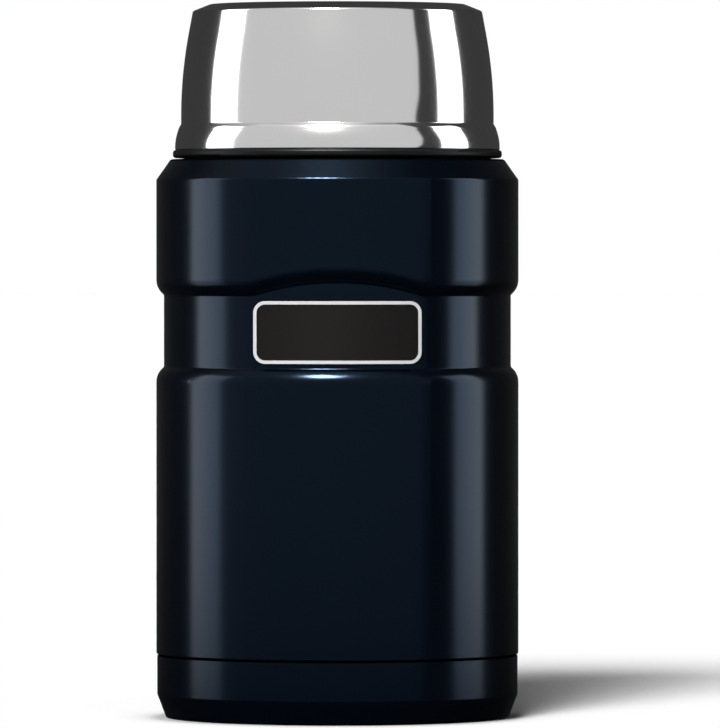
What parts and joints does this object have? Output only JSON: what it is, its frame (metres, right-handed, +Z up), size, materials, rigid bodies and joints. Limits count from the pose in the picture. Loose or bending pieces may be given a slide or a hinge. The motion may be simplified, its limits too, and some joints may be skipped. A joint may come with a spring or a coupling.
{
  "type": "insulated food jar",
  "caption": "Double-walled steel food jar with a screw-in insulated stopper and a screw-on steel lid that serves as a bowl.",
  "frame": {"origin": "centre of the foot, on the surface that the jar stands on", "axes": "+Z up along the jar's axis, -Y towards the front with the badge, +X to the right of someone who faces the badge"},
  "size_m": [0.094, 0.094, 0.185],
  "materials": {
    "casing_paint": "gloss",
    "bare_steel": "satin",
    "polished_steel": "polished",
    "braze": "satin",
    "foil": "polished",
    "getter": "matte",
    "badge": "satin",
    "adhesive": "matte",
    "stopper_plastic": "satin",
    "ring_plastic": "satin",
    "foam": "matte",
    "clear_silicone": "satin",
    "black_rubber": "satin"
  },
  "bodies": {
    "jar": {"outer_shell": "casing_paint", "neck_collar": "bare_steel", "base_cup": "casing_paint", "vacuum_end_plate": "bare_steel", "tip_off_seal": "braze", "badge_plate": "badge", "badge_adhesive": "adhesive", "inner_vessel": "bare_steel", "inner_floor": "bare_steel", "radiation_foil": "foil", "getter_cup": "bare_steel", "getter_pellet": "getter"},
    "gasket": {"stopper_gasket": "clear_silicone"},
    "stopper": {"stopper_body": "stopper_plastic", "stopper_foam": "foam", "stopper_cap": "stopper_plastic"},
    "rim_seal": {"bowl_rim_seal": "black_rubber"},
    "bowl": {"bowl_shell": "polished_steel", "bowl_liner": "bare_steel", "bowl_thread_ring": "ring_plastic"}
  },
  "joints": [
    {"name": "stopper_rise", "type": "slide", "parent": "jar", "child": "gasket", "axis": [0, 0, 1], "range_m": [0, 0.0155]},
    {"name": "stopper_turn", "type": "hinge", "parent": "gasket", "child": "stopper", "pos_m": [0, 0, 0.15], "axis": [0, 0, 1], "range_deg": [0, 465]},
    {"name": "bowl_rise", "type": "slide", "parent": "jar", "child": "rim_seal", "axis": [0, 0, 1], "range_m": [0, 0.018]},
    {"name": "bowl_turn", "type": "hinge", "parent": "rim_seal", "child": "bowl", "pos_m": [0, 0, 0.15], "axis": [0, 0, 1], "range_deg": [0, 540]}
  ],
  "couplings": [
    {"joint": "stopper_rise", "follows": "stopper_turn", "m_per_rad": 0.0019099},
    {"joint": "bowl_rise", "follows": "bowl_turn", "m_per_rad": 0.0019099}
  ]
}
